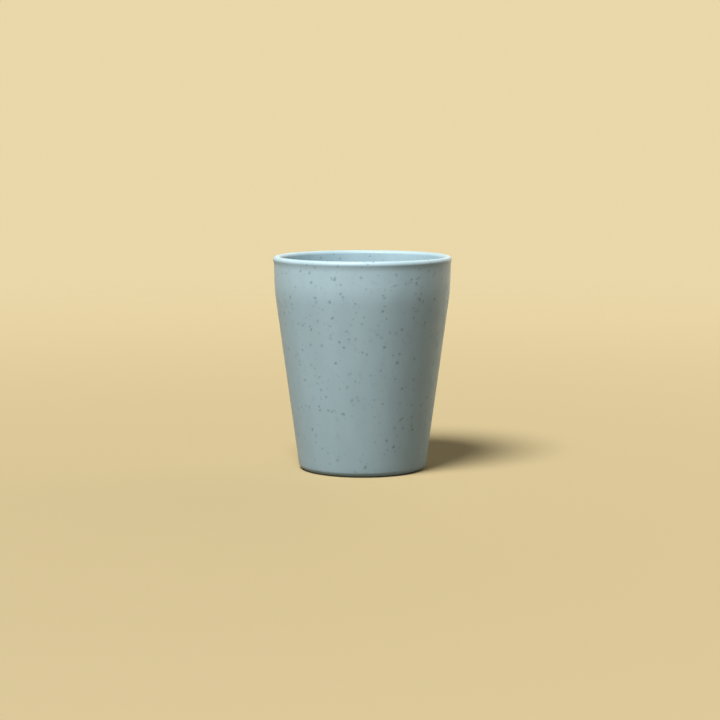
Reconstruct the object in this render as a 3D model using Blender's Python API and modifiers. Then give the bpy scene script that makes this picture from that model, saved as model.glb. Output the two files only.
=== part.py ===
"""A tapered drinking cup, moulded in one piece from straw-filled plastic.

Metres, +Z up. The origin is on the table, under the middle of the foot.
The whole cup is one turned section: floor, wall, band, full-round lip and foot ring.
"""

import math

import bpy
from mathutils import Vector

# Overall form
HEIGHT = 0.096
RIM_DIAMETER = 0.080  # the widest point, on the lip
BASE_DIAMETER = 0.057  # where the tapered wall would meet the table

# The lip, and the steeper band between it and the shoulder
RIM_THICKNESS = 0.0032
LIP_FLARE = 0.00034  # how far the lip stands out past the top of the band
BAND_DEPTH = 0.0152  # top of the lip down to the shoulder
BAND_FLARE = 0.0006  # how far the lip stands out past the shoulder

# Wall and floor
WALL = 0.0026
FLOOR = 0.0028

# The foot: a flat ring to stand on, round a shallow recess with the mould's gate in the middle
FOOT_WIDTH = 0.0062  # foot of the wall in to the edge of the recess
FOOT_RECESS = 0.0012
GATE_DIAMETER = 0.0070
GATE_RECESS = 0.0004
GATE_STUB_DIAMETER = 0.0020
GATE_STUB_HEIGHT = 0.0003

# Rounding
NECK_RADIUS = 0.012  # of the hollow between the lip and the band
SHOULDER_RADIUS = 0.080
BASE_RADIUS = 0.0028
FLOOR_RADIUS = 0.0060
FOOT_EDGE_RADIUS = 0.0005
LARGEST_CUT = 0.45  # of the shorter run beside a corner, so that two roundings never meet

# Fineness of the mesh
TURN_STEPS = 80
ARC_STEP = math.radians(15)
LEAST_ARC_STEPS = 3
AXIS_MERGE = 0.00001  # points this near the axis become one

# Finish
COLOUR = (0.41, 0.56, 0.617, 1.0)
ROUGHNESS = 0.47


def clear_scene():
    for obj in list(bpy.data.objects):
        bpy.data.objects.remove(obj)


def heading(vector):
    """The angle of a vector in the section, anticlockwise from straight out."""
    return math.atan2(vector.y, vector.x)


def arc(centre, radius, start, end):
    """Points on a circle from one angle to another, both ends included."""
    steps = max(LEAST_ARC_STEPS, math.ceil(abs(end - start) / ARC_STEP))
    angles = [start + (end - start) * i / steps for i in range(steps + 1)]
    return [centre + radius * Vector((math.cos(a), math.sin(a))) for a in angles]


def rounded_corner(before, corner, after, radius):
    """The arc that replaces a corner between two straight runs. The shorter run limits its radius."""
    back = (before - corner).normalized()
    on = (after - corner).normalized()
    half_corner = back.angle(on) / 2
    shorter_run = min((before - corner).length, (after - corner).length)
    cut = min(radius / math.tan(half_corner), LARGEST_CUT * shorter_run)
    centre = corner + (back + on).normalized() * (cut / math.cos(half_corner))
    first = corner + back * cut - centre
    last = corner + on * cut - centre
    start = heading(first)
    return arc(centre, first.length, start, start - first.angle_signed(last))


def rounded_path(start, corners, end):
    """A path through (corner, radius) pairs, from a plain start point to a plain end point."""
    stops = [start, *(corner for corner, _ in corners), end]
    points = [start]
    for i, (corner, radius) in enumerate(corners):
        if radius:
            points += rounded_corner(stops[i], corner, stops[i + 2], radius)
        else:
            points.append(corner)
    return points + [end]


def touch_angle(centre, radius, outside):
    """Where on a circle a line from a point outside it touches, on the clockwise side."""
    away = outside - centre
    return heading(away) - math.acos(radius / away.length)


def neck_arc(crown, crown_radius, top, shoulder):
    """The hollow under the lip: an arc that touches the lip's round, then the band from top to shoulder."""
    down = (shoulder - top).normalized()
    outward = Vector((-down.y, down.x))
    to_crown = crown - top
    across = NECK_RADIUS - outward.dot(to_crown)
    along = math.sqrt((crown_radius + NECK_RADIUS) ** 2 - across**2)
    centre = top + outward * NECK_RADIUS + down * (down.dot(to_crown) + along)
    first = crown - centre
    start = heading(first)
    return arc(centre, NECK_RADIUS, start, start - first.angle_signed(-outward))


def cup_section():
    """Half the cup's section as (radius, height) points: up the inside, over the lip, down the outside."""
    rim_radius = RIM_DIAMETER / 2
    base_radius = BASE_DIAMETER / 2
    shoulder = Vector((rim_radius - BAND_FLARE, HEIGHT - BAND_DEPTH))
    taper = (shoulder.x - base_radius) / shoulder.y

    wall_across = WALL * math.hypot(1, taper)
    floor_height = FOOT_RECESS + FLOOR
    inner_corner = Vector((base_radius - wall_across + floor_height * taper, floor_height))
    inner_shoulder = Vector((shoulder.x - wall_across, shoulder.y))

    crown_radius = RIM_THICKNESS / 2
    crown = Vector((rim_radius - crown_radius, HEIGHT - crown_radius))
    neck = neck_arc(crown, crown_radius, Vector((rim_radius - LIP_FLARE, crown.y)), shoulder)
    inner_touch = touch_angle(crown, crown_radius, inner_shoulder) + math.tau
    lip = arc(crown, crown_radius, inner_touch, heading(neck[0] - crown))

    inside = rounded_path(
        Vector((0, floor_height)),
        [(inner_corner, FLOOR_RADIUS), (inner_shoulder, SHOULDER_RADIUS)],
        lip[0],
    )

    base_corner = Vector((base_radius, 0))
    recess_radius = base_radius - FOOT_WIDTH
    gate_radius = GATE_DIAMETER / 2
    stub_radius = GATE_STUB_DIAMETER / 2
    gate_height = FOOT_RECESS + GATE_RECESS
    stub_end = gate_height - GATE_STUB_HEIGHT
    outside = rounded_path(
        neck[-1],
        [
            (shoulder, SHOULDER_RADIUS),
            (base_corner, BASE_RADIUS),
            (Vector((recess_radius, 0)), FOOT_EDGE_RADIUS),
            (Vector((recess_radius, FOOT_RECESS)), FOOT_EDGE_RADIUS),
            (Vector((gate_radius, FOOT_RECESS)), 0),
            (Vector((gate_radius, gate_height)), 0),
            (Vector((stub_radius, gate_height)), 0),
            (Vector((stub_radius, stub_end)), 0),
        ],
        Vector((0, stub_end)),
    )
    return inside + lip[1:] + neck[1:-1] + outside


def straw_plastic():
    material = bpy.data.materials.new("straw_plastic")
    material.use_nodes = True
    shader = material.node_tree.nodes["Principled BSDF"]
    shader.inputs["Base Color"].default_value = COLOUR
    shader.inputs["Roughness"].default_value = ROUGHNESS
    shader.inputs["Metallic"].default_value = 0.0
    return material


def turned(name, section, material):
    """A solid of revolution about Z from a section that starts and ends on the axis."""
    mesh = bpy.data.meshes.new(name)
    points = [(point.x, 0, point.y) for point in section]
    mesh.from_pydata(points, [(i, i + 1) for i in range(len(points) - 1)], [])
    mesh.materials.append(material)
    obj = bpy.data.objects.new(name, mesh)
    screw = obj.modifiers.new("turn", "SCREW")
    screw.axis = "Z"
    screw.steps = TURN_STEPS
    screw.render_steps = TURN_STEPS
    screw.use_merge_vertices = True
    screw.merge_threshold = AXIS_MERGE
    screw.use_smooth_shade = True
    return obj


def main():
    clear_scene()
    parts = bpy.data.collections.new("straw_cup")
    bpy.context.scene.collection.children.link(parts)
    parts.objects.link(turned("cup", cup_section(), straw_plastic()))


main()
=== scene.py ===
"""The looks of a drinking cup moulded from straw-filled plastic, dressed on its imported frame.

Metres, +Z up, in the frame's own place. The cup is one turned piece with a finer section than the frame's,
in a speckled plastic. The stage is a pale floor in an even surround, with one large soft lamp in front of
the cup and a weak one behind it.
"""

import math

import bmesh
import bpy
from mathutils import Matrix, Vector


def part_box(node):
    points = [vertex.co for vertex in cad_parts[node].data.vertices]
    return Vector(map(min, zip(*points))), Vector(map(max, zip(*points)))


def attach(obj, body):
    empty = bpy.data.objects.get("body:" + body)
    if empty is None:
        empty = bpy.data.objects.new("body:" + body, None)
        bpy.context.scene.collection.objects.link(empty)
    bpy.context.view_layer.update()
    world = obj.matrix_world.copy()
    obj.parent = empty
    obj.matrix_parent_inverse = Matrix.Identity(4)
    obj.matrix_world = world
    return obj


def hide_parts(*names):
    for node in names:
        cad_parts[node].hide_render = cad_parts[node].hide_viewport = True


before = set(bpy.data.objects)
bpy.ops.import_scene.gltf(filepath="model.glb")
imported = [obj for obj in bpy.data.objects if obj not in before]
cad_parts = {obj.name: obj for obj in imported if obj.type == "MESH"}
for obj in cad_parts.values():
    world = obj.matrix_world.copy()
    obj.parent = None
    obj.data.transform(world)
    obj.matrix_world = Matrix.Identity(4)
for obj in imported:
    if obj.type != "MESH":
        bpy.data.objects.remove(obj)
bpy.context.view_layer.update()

# The cup's overall size, from the frame
_, CUP_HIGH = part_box("cup")
HEIGHT = CUP_HIGH.z
RIM_RADIUS = CUP_HIGH.x

# The cup's own sizes, as the frame was built
BASE_DIAMETER = 0.057  # where the tapered wall would meet the table
RIM_THICKNESS = 0.0032
LIP_FLARE = 0.00034  # how far the lip stands out past the top of the band
BAND_DEPTH = 0.0152  # top of the lip down to the shoulder
BAND_FLARE = 0.0006  # how far the lip stands out past the shoulder
WALL = 0.0026
FLOOR = 0.0028
FOOT_WIDTH = 0.0062  # foot of the wall in to the edge of the recess
FOOT_RECESS = 0.0012
GATE_DIAMETER = 0.0070
GATE_RECESS = 0.0004
GATE_STUB_DIAMETER = 0.0020
GATE_STUB_HEIGHT = 0.0003
NECK_RADIUS = 0.012  # of the hollow between the lip and the band
SHOULDER_RADIUS = 0.080
BASE_RADIUS = 0.0028
FLOOR_RADIUS = 0.0060
FOOT_EDGE_RADIUS = 0.0005
GATE_EDGE_RADIUS = 0.00012

# Fineness of the cup's mesh
TURN_STEPS = 192
ARC_STEP = math.radians(6)
LEAST_ARC_STEPS = 8
LONGEST_RUN = 0.0025
SAME_POINT_DIGITS = 7  # section points that agree to this many decimals sweep one ring
ON_AXIS = 1e-6  # a point nearer the axis than this is on it

# The unrolled map of the cup: walls as full-width strips one above the other, discs side by side above them
MAP_MARGIN = 0.004
FLOOR_ACROSS = 0.25  # where the middle of the floor's disc lies across the map
UNDERSIDE_ACROSS = 0.75

# Colours of the plastic and of the straw in it, linear. The plastic round it greys most of the straw
PLASTIC_PALE = (0.425, 0.578, 0.637, 1.0)
PLASTIC_DEEP = (0.395, 0.542, 0.597, 1.0)
STRAW_DARK = (0.045, 0.076, 0.084, 1.0)
STRAW_GREY = (0.106, 0.158, 0.172, 1.0)
STRAW_TAN = (0.28, 0.31, 0.26, 1.0)
TONE_SIZE = 0.012  # of the soft patches of pale and deep plastic
TONE_STRETCH = (1.0, 1.0, 0.4)  # the patches are longer up and down

# The straw: every cell of space, of about the size given, holds at most one fleck of a kind. Then come the
# fleck's radius, its length for its width, the share of the cells that hold one, how much of the plastic
# the boldest one hides, and the share of its radius that is a crisp core. The plastic veils the rest, which
# fades out as a faint halo. Sunken straw lies under the surface and is all halo
CHIPS = {"cell": 0.0044, "radius": 0.00116, "stretch": 1.6, "share": 0.66, "cover": 0.53, "core": 0.5}
SPECKS = {"cell": 0.0030, "radius": 0.00095, "stretch": 1.4, "share": 0.42, "cover": 0.53, "core": 0.5}
FIBRES = {"cell": 0.0060, "radius": 0.00020, "stretch": 7.0, "share": 0.60, "cover": 0.60, "core": 0.7}
DUST = {"cell": 0.0018, "radius": 0.00044, "stretch": 1.6, "share": 0.42, "cover": 0.42, "core": 0.55}
SUNKEN = {"cell": 0.0042, "radius": 0.00120, "stretch": 1.7, "share": 0.80, "cover": 0.215, "core": 0.0}
FLECK_SMALLEST = 0.75  # of the radius
FLECK_LARGEST = 1.15
FLECK_FAINTEST = 0.35  # of the cover
CORE_EDGE = 0.1  # of the radius, over which the core ends
HALO = 0.65  # of the cover, in the middle of the fleck
CLUSTER_SIZE = 0.009  # of the patches where the straw lies thick or thin
CLUSTER_THIN = 0.4  # of the share, where the straw lies thinnest
CLUSTER_THICK = 1.6
FOURTH_DRAW = 3.0  # a seed apart from the three draws in white noise's colour
RAGGED_SIZE = 0.0006  # of the noise that makes the flecks' edges ragged
RAGGED_REACH = 0.0011

# Gloss and fine relief of the plastic
ROUGHNESS_LOW = 0.40
ROUGHNESS_HIGH = 0.54
GLOSS_SIZE = 0.004
GRAIN_SIZE = 0.0003
GRAIN_HEIGHT = 0.3  # of the bump's distance
STRAW_HEIGHT = 0.7
BUMP_STRENGTH = 0.25
BUMP_DISTANCE = 0.00003

# Noise textures: the range that most of their values fill, and their middle
NOISE_RANGE = (0.3, 0.7)
NOISE_DETAIL = 2.5
HALF = (0.5, 0.5, 0.5)

# A Mix node's sockets by number, because its colour sockets share their names with others
MIX_FACTOR = 0
MIX_FIRST_COLOUR = 6
MIX_SECOND_COLOUR = 7
MIX_COLOUR_OUT = 2

# The view of the photograph, with the lens and the sensor in millimetres
LENS = 99.8
SENSOR = 36.0
CAMERA_DISTANCE = 0.9005
CAMERA_ELEVATION = math.radians(6.845)
AIM_HEIGHT = 0.04891
AIM_SIDE = -0.00110

# The stage: a floor for the cup to stand on, and the surround
STAGE_COLOUR = (0.50, 0.405, 0.225)  # as it is seen
STAGE_BOUNCE = (0.115, 0.098, 0.07, 1.0)  # for the light that it throws back on the cup
STAGE_RADIUS = 1.4
STAGE_FADE_START = 0.15
STAGE_FADE_END = 1.2
STAGE_SIDES = 96
SURROUND_SEEN = (0.82, 0.68, 0.40, 1.0)
SURROUND_LIGHT = (0.148, 0.148, 0.153, 1.0)

# The lamps. A level is what a white card facing the lamp would render as, and azimuths start at the
# camera's side
KEY_LEVEL = 1.53
KEY_ELEVATION = math.radians(59)
KEY_AZIMUTH = math.radians(-29.5)
KEY_DISTANCE = 0.9
KEY_SIZE = 0.38
KEY_SHARE = 0.87  # of the light on the floor beside the cup
FILL_LEVEL = 0.40
FILL_COLOUR = (1.0, 0.92, 0.78)
FILL_ELEVATION = math.radians(10)
FILL_AZIMUTH = math.radians(143)
FILL_SPREAD = math.radians(80)


def arc(centre, radius, start, end):
    """Points on a circle from one angle to another, both ends included."""
    steps = max(LEAST_ARC_STEPS, math.ceil(abs(end - start) / ARC_STEP))
    angles = [start + (end - start) * i / steps for i in range(steps + 1)]
    return [centre + radius * Vector((math.cos(a), math.sin(a))) for a in angles]


def heading(vector):
    """The angle of a vector in the section, anticlockwise from straight out."""
    return math.atan2(vector.y, vector.x)


def rounded_corner(before, corner, after, radius):
    """The arc that replaces a corner between two straight runs."""
    back = (before - corner).normalized()
    on = (after - corner).normalized()
    half_corner = back.angle(on) / 2
    cut = radius / math.tan(half_corner)
    centre = corner + (back + on).normalized() * (cut / math.cos(half_corner))
    first = corner + back * cut - centre
    last = corner + on * cut - centre
    start = heading(first)
    return arc(centre, radius, start, start - first.angle_signed(last))


def rounded_path(start, corners, end):
    """A path through (corner, radius) pairs, from a plain start point to a plain end point."""
    stops = [start, *(corner for corner, _ in corners), end]
    points = [start]
    for i, (corner, radius) in enumerate(corners):
        points += rounded_corner(stops[i], corner, stops[i + 2], radius)
    return points + [end]


def touch_angle(centre, radius, outside):
    """Where on a circle a line from a point outside it touches, on the clockwise side."""
    away = outside - centre
    return heading(away) - math.acos(radius / away.length)


def neck_arc(crown, crown_radius, top, shoulder):
    """The hollow under the lip: an arc that touches the lip's round, then the band from top to shoulder."""
    down = (shoulder - top).normalized()
    outward = Vector((-down.y, down.x))
    to_crown = crown - top
    across = NECK_RADIUS - outward.dot(to_crown)
    along = math.sqrt((crown_radius + NECK_RADIUS) ** 2 - across**2)
    centre = top + outward * NECK_RADIUS + down * (down.dot(to_crown) + along)
    first = crown - centre
    start = heading(first)
    return arc(centre, NECK_RADIUS, start, start - first.angle_signed(-outward))


def divided(points):
    """The same path with its long straight runs cut into short ones."""
    path = points[:1]
    for before, after in zip(points, points[1:]):
        steps = max(1, math.ceil((after - before).length / LONGEST_RUN))
        path += [before.lerp(after, i / steps) for i in range(1, steps + 1)]
    return path


def cup_runs():
    """Half the cup's section in four runs of (radius, height) points.

    They are the floor, the inner wall, the outer wall and the underside.
    """
    base_radius = BASE_DIAMETER / 2
    shoulder = Vector((RIM_RADIUS - BAND_FLARE, HEIGHT - BAND_DEPTH))
    taper = (shoulder.x - base_radius) / shoulder.y

    wall_across = WALL * math.hypot(1, taper)
    floor_height = FOOT_RECESS + FLOOR
    inner_corner = Vector((base_radius - wall_across + floor_height * taper, floor_height))
    inner_shoulder = Vector((shoulder.x - wall_across, shoulder.y))

    crown_radius = RIM_THICKNESS / 2
    crown = Vector((RIM_RADIUS - crown_radius, HEIGHT - crown_radius))
    neck = neck_arc(crown, crown_radius, Vector((RIM_RADIUS - LIP_FLARE, crown.y)), shoulder)
    inner_touch = touch_angle(crown, crown_radius, inner_shoulder) + math.tau
    lip_inside = arc(crown, crown_radius, inner_touch, math.pi / 2)
    lip_outside = arc(crown, crown_radius, math.pi / 2, heading(neck[0] - crown))

    base_corner = Vector((base_radius, 0))
    recess_radius = base_radius - FOOT_WIDTH
    gate_radius = GATE_DIAMETER / 2
    stub_radius = GATE_STUB_DIAMETER / 2
    gate_height = FOOT_RECESS + GATE_RECESS
    stub_end = gate_height - GATE_STUB_HEIGHT
    foot_edge = Vector((recess_radius, 0))

    middle = Vector((0, floor_height))
    inner_floor = [middle] + rounded_corner(middle, inner_corner, inner_shoulder, FLOOR_RADIUS)
    inner_bend = rounded_corner(inner_corner, inner_shoulder, lip_inside[0], SHOULDER_RADIUS)
    inner_wall = inner_floor[-1:] + inner_bend + lip_inside
    outer_wall = lip_outside + neck[1:-1] + rounded_path(
        neck[-1],
        [(shoulder, SHOULDER_RADIUS), (base_corner, BASE_RADIUS)],
        foot_edge,
    )[:-1]
    underside = rounded_path(
        outer_wall[-1],
        [
            (foot_edge, FOOT_EDGE_RADIUS),
            (Vector((recess_radius, FOOT_RECESS)), FOOT_EDGE_RADIUS),
            (Vector((gate_radius, FOOT_RECESS)), GATE_EDGE_RADIUS),
            (Vector((gate_radius, gate_height)), GATE_EDGE_RADIUS),
            (Vector((stub_radius, gate_height)), GATE_EDGE_RADIUS),
            (Vector((stub_radius, stub_end)), GATE_EDGE_RADIUS),
        ],
        Vector((0, stub_end)),
    )
    return [divided(run) for run in (inner_floor, inner_wall, outer_wall, underside)]


def run_lengths(run):
    """How far along a run each of its points lies."""
    lengths = [0.0]
    for before, after in zip(run, run[1:]):
        lengths.append(lengths[-1] + (after - before).length)
    return lengths


def strip_place(bottom, top):
    """Where a wall lies on the map: a full-width strip between two heights."""

    def place(share, turn):
        across = MAP_MARGIN + turn * (1 - 2 * MAP_MARGIN)
        return across, bottom + share * (top - bottom)

    return place


def disc_place(centre, radius, from_middle):
    """Where a disc lies on the map: round a centre, with its run from the middle out or from the rim in."""

    def place(share, turn):
        reach = radius * (share if from_middle else 1 - share)
        angle = math.tau * turn
        return centre[0] + reach * math.cos(angle), centre[1] + reach * math.sin(angle)

    return place


def turned(name, runs, places, material):
    """A closed solid of revolution about Z, whose runs follow on from one another from axis to axis."""
    form = bmesh.new()
    layer = form.loops.layers.uv.new("OFBake")
    angles = [math.tau * k / TURN_STEPS for k in range(TURN_STEPS)]
    rings = {}

    def ring(point):
        """The ring of vertices that a section point sweeps, or one vertex on the axis."""
        key = (round(point.x, SAME_POINT_DIGITS), round(point.y, SAME_POINT_DIGITS))
        if key not in rings:
            if point.x < ON_AXIS:
                rings[key] = [form.verts.new((0, 0, point.y))] * TURN_STEPS
            else:
                spots = [(point.x * math.cos(a), point.x * math.sin(a), point.y) for a in angles]
                rings[key] = [form.verts.new(spot) for spot in spots]
        return rings[key]

    for run, place in zip(runs, places):
        lengths = run_lengths(run)
        shares = [length / lengths[-1] for length in lengths]
        for i in range(len(run) - 1):
            lower = ring(run[i])
            upper = ring(run[i + 1])
            for k in range(TURN_STEPS):
                after = (k + 1) % TURN_STEPS
                corners = [
                    (lower[k], shares[i], k),
                    (upper[k], shares[i + 1], k),
                    (upper[after], shares[i + 1], k + 1),
                    (lower[after], shares[i], k + 1),
                ]
                # On the axis two corners are one, and the face is a triangle
                if lower[k] is lower[after]:
                    del corners[3]
                elif upper[k] is upper[after]:
                    del corners[2]
                face = form.faces.new([corner[0] for corner in corners])
                face.smooth = True
                for loop, (_, share, step) in zip(face.loops, corners):
                    loop[layer].uv = place(share, step / TURN_STEPS)
    bmesh.ops.recalc_face_normals(form, faces=form.faces)
    mesh = bpy.data.meshes.new(name)
    form.to_mesh(mesh)
    form.free()
    mesh.materials.append(material)
    piece = bpy.data.objects.new(name, mesh)
    bpy.context.scene.collection.objects.link(piece)
    return piece


class Graph:
    """Adds nodes to a node tree, with values or other nodes' outputs on their inputs."""

    def __init__(self, tree):
        self.tree = tree

    def add(self, kind, inputs, **settings):
        """A new node, with its inputs by name or number and its own settings."""
        node = self.tree.nodes.new(kind)
        for name, value in settings.items():
            setattr(node, name, value)
        for name, value in inputs.items():
            if isinstance(value, bpy.types.NodeSocket):
                self.tree.links.new(value, node.inputs[name])
            else:
                node.inputs[name].default_value = value
        return node

    def maths(self, operation, *values):
        return self.add("ShaderNodeMath", dict(enumerate(values)), operation=operation).outputs[0]

    def vector(self, operation, *values):
        return self.add("ShaderNodeVectorMath", dict(enumerate(values)), operation=operation).outputs[0]

    def measure(self, operation, *values):
        """A vector operation that gives one number."""
        node = self.add("ShaderNodeVectorMath", dict(enumerate(values)), operation=operation)
        return node.outputs["Value"]

    def stretched(self, vector, factor):
        node = self.add("ShaderNodeVectorMath", {0: vector, "Scale": factor}, operation="SCALE")
        return node.outputs[0]

    def ranged(self, value, low, high, to_low, to_high):
        """A value carried softly from one range to another and held at the ends."""
        inputs = {"Value": value, "From Min": low, "From Max": high, "To Min": to_low, "To Max": to_high}
        return self.add("ShaderNodeMapRange", inputs, interpolation_type="SMOOTHSTEP").outputs[0]

    def spread(self, draw, low, high):
        """A random number from 0 to 1 carried evenly over a range."""
        return self.add("ShaderNodeMapRange", {"Value": draw, "To Min": low, "To Max": high}).outputs[0]

    def mixed(self, factor, first, second):
        """A colour between two colours."""
        inputs = {MIX_FACTOR: factor, MIX_FIRST_COLOUR: first, MIX_SECOND_COLOUR: second}
        return self.add("ShaderNodeMix", inputs, data_type="RGBA").outputs[MIX_COLOUR_OUT]

    def noise_node(self, place, size):
        inputs = {"Vector": place, "Scale": 1 / size, "Detail": NOISE_DETAIL}
        return self.add("ShaderNodeTexNoise", inputs, noise_dimensions="3D")

    def noise(self, place, size):
        """Soft noise whose lumps are about the given size."""
        return self.noise_node(place, size).outputs[0]

    def noise_vector(self, place, size):
        """Three soft noises at once."""
        return self.noise_node(place, size).outputs["Color"]


def flecks(graph, place, cell, radius, stretch, share, cover, core):
    """Straw scattered through the plastic: how much shows at a point, and a random number for its tint.

    Each cell of space holds at most one fleck, an ellipsoid at a random place and angle. The surface cuts
    through some of them, so their shapes and sizes vary.
    """
    cells = graph.add("ShaderNodeTexVoronoi", {"Vector": place, "Scale": 1 / cell}, voronoi_dimensions="3D")
    middle = cells.outputs["Position"]
    mark = cells.outputs["Color"]
    three = graph.add("ShaderNodeTexWhiteNoise", {"Vector": mark}, noise_dimensions="3D")
    draws = graph.add("ShaderNodeSeparateColor", {"Color": three.outputs["Color"]})
    luck = graph.add("ShaderNodeTexWhiteNoise", {"Vector": mark, "W": FOURTH_DRAW}, noise_dimensions="4D")
    axis = graph.vector("NORMALIZE", graph.vector("SUBTRACT", mark, HALF))
    offset = graph.vector("SUBTRACT", place, middle)
    along = graph.measure("DOT_PRODUCT", offset, axis)
    excess = graph.stretched(axis, graph.maths("MULTIPLY", along, 1 - 1 / stretch))
    reach = graph.measure("LENGTH", graph.vector("SUBTRACT", offset, excess))
    size = graph.spread(draws.outputs[0], FLECK_SMALLEST * radius, FLECK_LARGEST * radius)
    outness = graph.maths("DIVIDE", reach, size)
    crisp = graph.ranged(outness, core - CORE_EDGE, core, 1.0, 0.0)
    faint = graph.ranged(outness, 0.0, 1.0, HALO, 0.0)
    body = graph.maths("MAXIMUM", crisp, faint)
    strength = graph.spread(draws.outputs[1], FLECK_FAINTEST * cover, cover)
    cluster = graph.noise(middle, CLUSTER_SIZE)
    crowd = graph.ranged(cluster, *NOISE_RANGE, CLUSTER_THIN * share, CLUSTER_THICK * share)
    present = graph.maths("LESS_THAN", luck.outputs["Value"], crowd)
    shown = graph.maths("MULTIPLY", graph.maths("MULTIPLY", body, strength), present)
    return shown, draws.outputs[2]


def straw_plastic():
    """Satin plastic whose colour drifts softly, with five kinds of straw in it."""
    material = bpy.data.materials.new("straw_plastic")
    material.use_nodes = True
    graph = Graph(material.node_tree)
    shader = material.node_tree.nodes["Principled BSDF"]
    point = graph.add("ShaderNodeTexCoord", {}).outputs["Object"]

    # Ragged edges for the flecks: every point is looked up a little way off
    shift = graph.vector("SUBTRACT", graph.noise_vector(point, RAGGED_SIZE), HALF)
    place = graph.vector("ADD", point, graph.stretched(shift, RAGGED_REACH))

    tone = graph.noise(graph.vector("MULTIPLY", point, TONE_STRETCH), TONE_SIZE)
    colour = graph.mixed(graph.ranged(tone, *NOISE_RANGE, 0, 1), PLASTIC_DEEP, PLASTIC_PALE)

    sunken, _ = flecks(graph, place, **SUNKEN)
    colour = graph.mixed(sunken, colour, STRAW_GREY)
    dust, _ = flecks(graph, place, **DUST)
    colour = graph.mixed(dust, colour, STRAW_GREY)
    fibre, tint = flecks(graph, place, **FIBRES)
    colour = graph.mixed(fibre, colour, graph.mixed(tint, STRAW_GREY, STRAW_TAN))
    speck, tint = flecks(graph, place, **SPECKS)
    colour = graph.mixed(speck, colour, graph.mixed(tint, STRAW_DARK, STRAW_GREY))
    chip, tint = flecks(graph, place, **CHIPS)
    colour = graph.mixed(chip, colour, graph.mixed(tint, STRAW_DARK, STRAW_GREY))
    graph.tree.links.new(colour, shader.inputs["Base Color"])

    roughness = graph.ranged(graph.noise(point, GLOSS_SIZE), *NOISE_RANGE, ROUGHNESS_LOW, ROUGHNESS_HIGH)
    graph.tree.links.new(roughness, shader.inputs["Roughness"])

    grain = graph.maths("MULTIPLY", graph.noise(point, GRAIN_SIZE), GRAIN_HEIGHT)
    straw = graph.maths("MULTIPLY", graph.maths("MAXIMUM", chip, speck), STRAW_HEIGHT)
    height = graph.maths("ADD", grain, straw)
    relief = {"Height": height, "Strength": BUMP_STRENGTH, "Distance": BUMP_DISTANCE}
    bump = graph.add("ShaderNodeBump", relief)
    graph.tree.links.new(bump.outputs[0], shader.inputs["Normal"])
    return material


def straw_cup():
    """The cup. On the map its walls keep their real proportions, and the discs fill the room above them."""
    runs = cup_runs()
    around = math.tau * RIM_RADIUS
    inner_tall = run_lengths(runs[1])[-1] / around
    outer_tall = run_lengths(runs[2])[-1] / around
    inner_top = MAP_MARGIN + inner_tall
    outer_bottom = inner_top + MAP_MARGIN
    outer_top = outer_bottom + outer_tall
    disc_radius = (1 - outer_top - 2 * MAP_MARGIN) / 2
    disc_height = 1 - MAP_MARGIN - disc_radius
    places = [
        disc_place((FLOOR_ACROSS, disc_height), disc_radius, True),
        strip_place(MAP_MARGIN, inner_top),
        strip_place(outer_bottom, outer_top),
        disc_place((UNDERSIDE_ACROSS, disc_height), disc_radius, False),
    ]
    cup = turned("straw_cup", runs, places, straw_plastic())
    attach(cup, "root")
    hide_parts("cup")


def seen_directly(graph):
    """1 for what the camera sees, also in a reflection or through glass, and 0 for light on a surface."""
    path = graph.add("ShaderNodeLightPath", {})
    mirrored = graph.maths("MAXIMUM", path.outputs["Is Glossy Ray"], path.outputs["Is Transmission Ray"])
    return graph.maths("MAXIMUM", path.outputs["Is Camera Ray"], mirrored)


def direction(azimuth, elevation):
    """From the cup towards a lamp or the camera."""
    flat = math.cos(elevation)
    return Vector((math.sin(azimuth) * flat, -math.cos(azimuth) * flat, math.sin(elevation)))


def evened(graph, point, lamp_place, lamp_side):
    """How much lighter the floor's colour is made at a point, to look as bright as it is beside the cup."""
    to_lamp = graph.vector("SUBTRACT", lamp_place, point)
    square = graph.measure("DOT_PRODUCT", to_lamp, to_lamp)
    ahead = graph.measure("DOT_PRODUCT", to_lamp, lamp_side)
    # Distance counts four times: twice as the light spreads, and once each for its slant at lamp and floor
    nearness = graph.maths("POWER", graph.maths("DIVIDE", lamp_place.length_squared, square), 2.0)
    lamp_light = graph.maths("MULTIPLY", nearness, graph.maths("DIVIDE", ahead, lamp_place.dot(lamp_side)))
    light = graph.maths("MULTIPLY_ADD", lamp_light, KEY_SHARE, 1 - KEY_SHARE)
    return graph.maths("DIVIDE", 1.0, light)


def stage_material():
    """A matt pale floor that fades into the surround far from the cup."""
    material = bpy.data.materials.new("floor")
    material.use_nodes = True
    graph = Graph(material.node_tree)
    graph.tree.nodes.clear()
    point = graph.add("ShaderNodeNewGeometry", {}).outputs["Position"]
    seen = graph.stretched(STAGE_COLOUR, evened(graph, point, KEY_PLACE, KEY_SIDE))
    colour = graph.mixed(seen_directly(graph), STAGE_BOUNCE, seen)
    matt = graph.add("ShaderNodeBsdfDiffuse", {"Color": colour})
    clear = graph.add("ShaderNodeBsdfTransparent", {})
    fade = graph.ranged(graph.measure("LENGTH", point), STAGE_FADE_START, STAGE_FADE_END, 0, 1)
    both = graph.add("ShaderNodeMixShader", {0: fade, 1: matt.outputs[0], 2: clear.outputs[0]})
    graph.add("ShaderNodeOutputMaterial", {"Surface": both.outputs[0]})
    return material


def stage_floor():
    """A wide disc for the cup to stand on."""
    form = bmesh.new()
    bmesh.ops.create_circle(form, cap_ends=True, segments=STAGE_SIDES, radius=STAGE_RADIUS)
    mesh = bpy.data.meshes.new("floor")
    form.to_mesh(mesh)
    form.free()
    mesh.materials.append(stage_material())
    disc = bpy.data.objects.new("floor", mesh)
    bpy.context.scene.collection.objects.link(disc)


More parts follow.
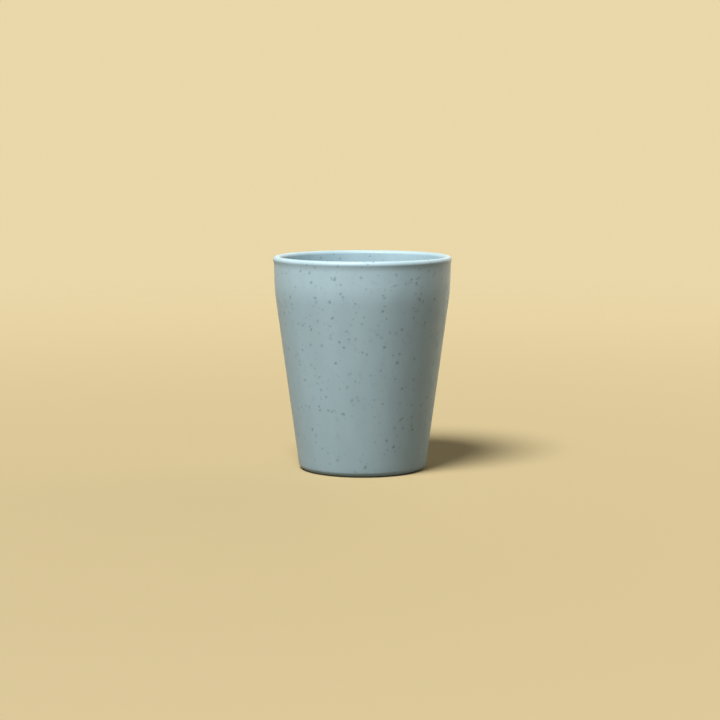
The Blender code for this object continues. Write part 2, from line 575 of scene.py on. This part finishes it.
def surround():
    """An even surround that lights softly and is seen as a pale background."""
    world = bpy.data.worlds.new("surround")
    world.use_nodes = True
    graph = Graph(world.node_tree)
    graph.tree.nodes.clear()
    colour = graph.mixed(seen_directly(graph), SURROUND_LIGHT, SURROUND_SEEN)
    light = graph.add("ShaderNodeBackground", {"Color": colour})
    graph.add("ShaderNodeOutputWorld", {"Surface": light.outputs[0]})
    bpy.context.scene.world = world


def aimed(obj, position, target):
    """Puts a lamp or a camera into the scene, looking at a point."""
    obj.location = position
    obj.rotation_mode = "QUATERNION"
    obj.rotation_quaternion = (target - position).to_track_quat("-Z", "Y")
    bpy.context.scene.collection.objects.link(obj)


def key_lamp():
    """One large soft lamp above the cup, towards the camera and to its left."""
    lamp = bpy.data.lights.new("key", "AREA")
    lamp.shape = "DISK"
    lamp.size = KEY_SIZE
    lamp.energy = KEY_LEVEL * (math.pi * KEY_DISTANCE) ** 2
    aimed(bpy.data.objects.new("key", lamp), KEY_PLACE, CUP_MIDDLE)


def fill_lamp():
    """Weak light from all over the far side, which shows the back of the cup."""
    lamp = bpy.data.lights.new("fill", "SUN")
    lamp.energy = FILL_LEVEL * math.pi
    lamp.color = FILL_COLOUR
    lamp.angle = FILL_SPREAD
    place = CUP_MIDDLE + direction(FILL_AZIMUTH, FILL_ELEVATION)
    aimed(bpy.data.objects.new("fill", lamp), place, CUP_MIDDLE)


def camera():
    """The camera, at the photograph's viewing angle."""
    lens = bpy.data.cameras.new("camera")
    lens.lens = LENS
    lens.sensor_width = SENSOR
    target = Vector((AIM_SIDE, 0, AIM_HEIGHT))
    eye = bpy.data.objects.new("camera", lens)
    aimed(eye, target + direction(0, CAMERA_ELEVATION) * CAMERA_DISTANCE, target)
    bpy.context.scene.camera = eye


# Where the lamps aim, and where the key lamp stands, which the floor's colour needs too
CUP_MIDDLE = Vector((0, 0, HEIGHT / 2))
KEY_SIDE = direction(KEY_AZIMUTH, KEY_ELEVATION)
KEY_PLACE = CUP_MIDDLE + KEY_SIDE * KEY_DISTANCE

straw_cup()
stage_floor()
surround()
key_lamp()
fill_lamp()
camera()
bpy.context.scene.view_settings.view_transform = "Standard"
